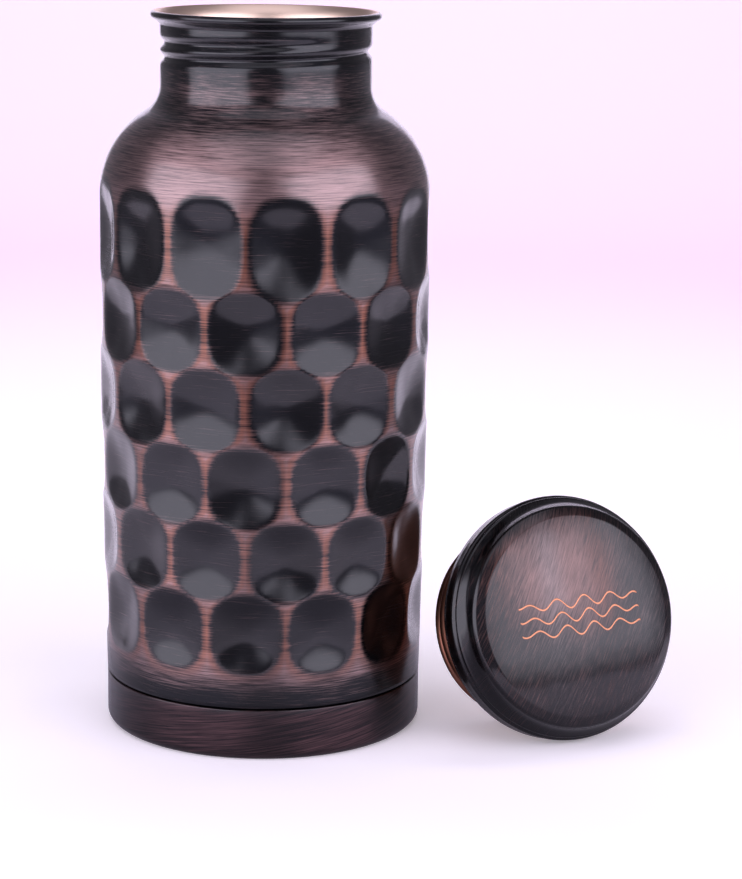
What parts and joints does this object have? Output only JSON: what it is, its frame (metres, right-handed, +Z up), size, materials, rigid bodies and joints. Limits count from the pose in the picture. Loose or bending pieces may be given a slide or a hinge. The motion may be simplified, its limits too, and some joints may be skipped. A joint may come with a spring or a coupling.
{
  "type": "water bottle",
  "caption": "Hammered copper water bottle with a rolled-thread neck and a domed screw lid lying on its rim beside it.",
  "frame": {"origin": "middle of the bottle's flat base, on the surface it stands on", "axes": "+Z up the bottle's axis to its lip; +X towards the lid lying beside it; the side seen from the front faces -Y"},
  "size_m": [0.1576, 0.089, 0.1949],
  "materials": {
    "patina_copper": "dark antique copper, brushed, clear lacquer, rubbed copper ridges",
    "lid_patina_copper": "dark antique copper, brushed, clear lacquer",
    "bare_copper": "bare polished copper",
    "braze": "raw braze alloy",
    "solder": "raw tin solder",
    "washer": "translucent white silicone"
  },
  "bodies": {
    "bottle": {"body_shell": "patina_copper", "base_cup": "patina_copper", "base_braze_ring": "braze"},
    "washer": {"lid_gasket": "washer"},
    "lid": {"lid_dome": "lid_patina_copper", "lid_plug": "bare_copper", "lid_solder_ring": "solder"}
  },
  "joints": [
    {"name": "lid_swing", "type": "hinge", "parent": "bottle", "child": "washer", "pos_m": [0.00103, 0.18429, 0.15734], "axis": [-0.9427, -0.2177, -0.2527], "range_deg": [0, 75.11]},
    {"name": "lid_turn", "type": "hinge", "parent": "washer", "child": "lid", "pos_m": [0.08, -0.0115, 0.03143], "axis": [0.3874, -0.8702, 0.3043], "range_deg": [-540, 0]}
  ]
}
